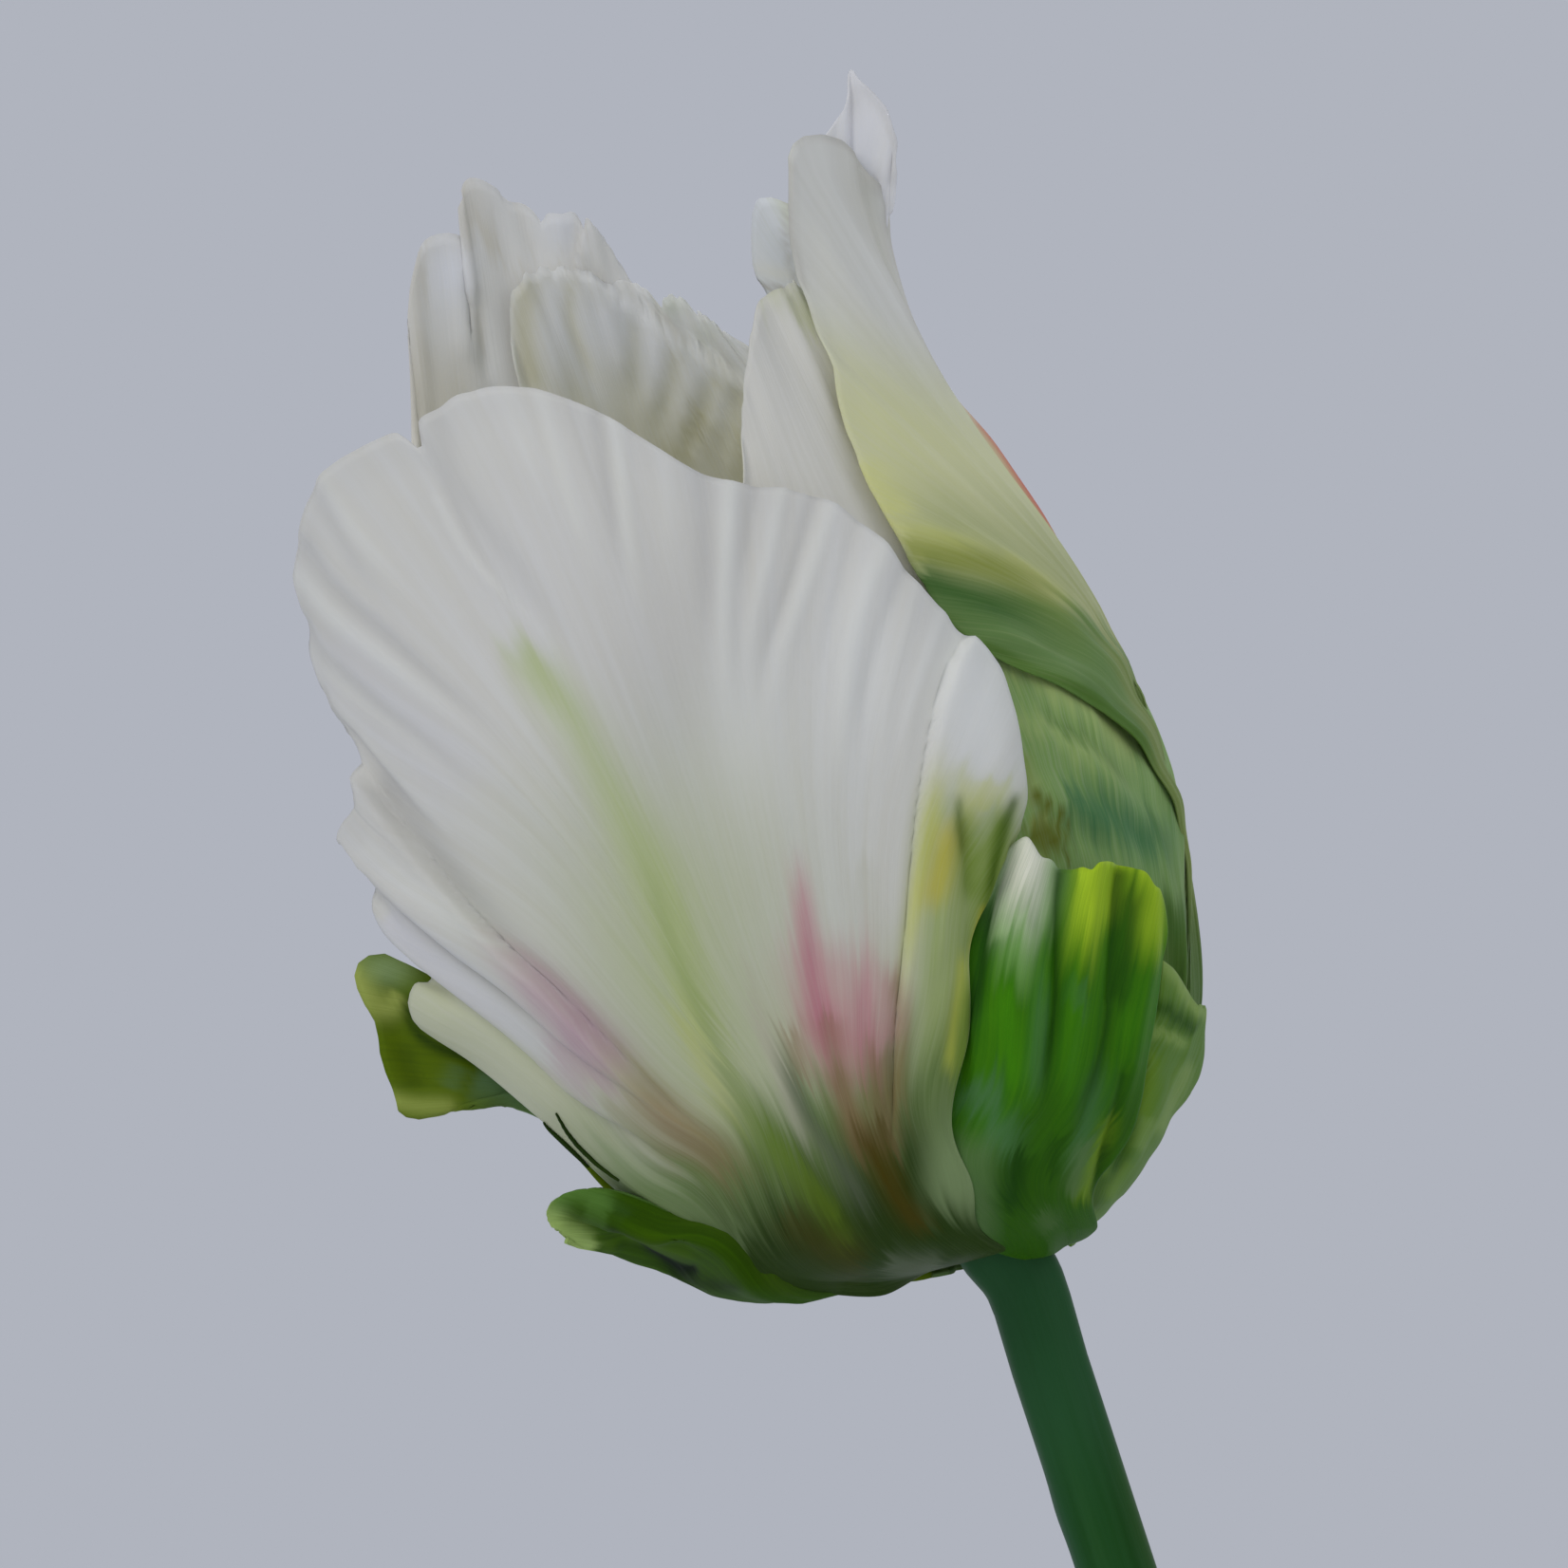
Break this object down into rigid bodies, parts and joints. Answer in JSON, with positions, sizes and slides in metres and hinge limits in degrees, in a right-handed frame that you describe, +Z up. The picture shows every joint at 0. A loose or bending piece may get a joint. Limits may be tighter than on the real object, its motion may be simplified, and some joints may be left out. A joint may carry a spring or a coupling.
{
  "type": "tulip in vase",
  "caption": "Cut white and green parrot tulip with a leaning ruffled bloom, clasping leaves and bent stem, standing in a narrow-necked glazed bud vase.",
  "frame": {"origin": "centre of the vase's flat foot, on the surface it stands on", "axes": "+Z up; the bloom leans towards -X and its seen side faces -Y"},
  "size_m": [0.1974, 0.0993, 0.3643],
  "materials": {
    "vase_glaze": "satin",
    "stem_green": "satin",
    "leaf_green": "satin",
    "tepal_white": "matte",
    "tepal_green": "matte",
    "lobe_green": "satin",
    "pistil_green": "satin",
    "anther": "matte"
  },
  "bodies": {
    "root": {"vase": "vase_glaze", "stem": "stem_green", "leaf_lower": "leaf_green", "leaf_upper": "leaf_green", "front_tepal": "tepal_white", "right_tepal": "tepal_green", "back_left_tepal": "tepal_white", "front_right_inner_tepal": "tepal_green", "back_inner_tepal": "tepal_white", "left_inner_tepal": "tepal_white", "green_lobe_right": "lobe_green", "green_lobe_far_right": "lobe_green", "green_lobe_bottom": "lobe_green", "green_lobe_left": "lobe_green", "pistil": "pistil_green", "stamen_1": "anther", "stamen_2": "anther", "stamen_3": "anther", "stamen_4": "anther", "stamen_5": "anther", "stamen_6": "anther"}
  },
  "joints": []
}
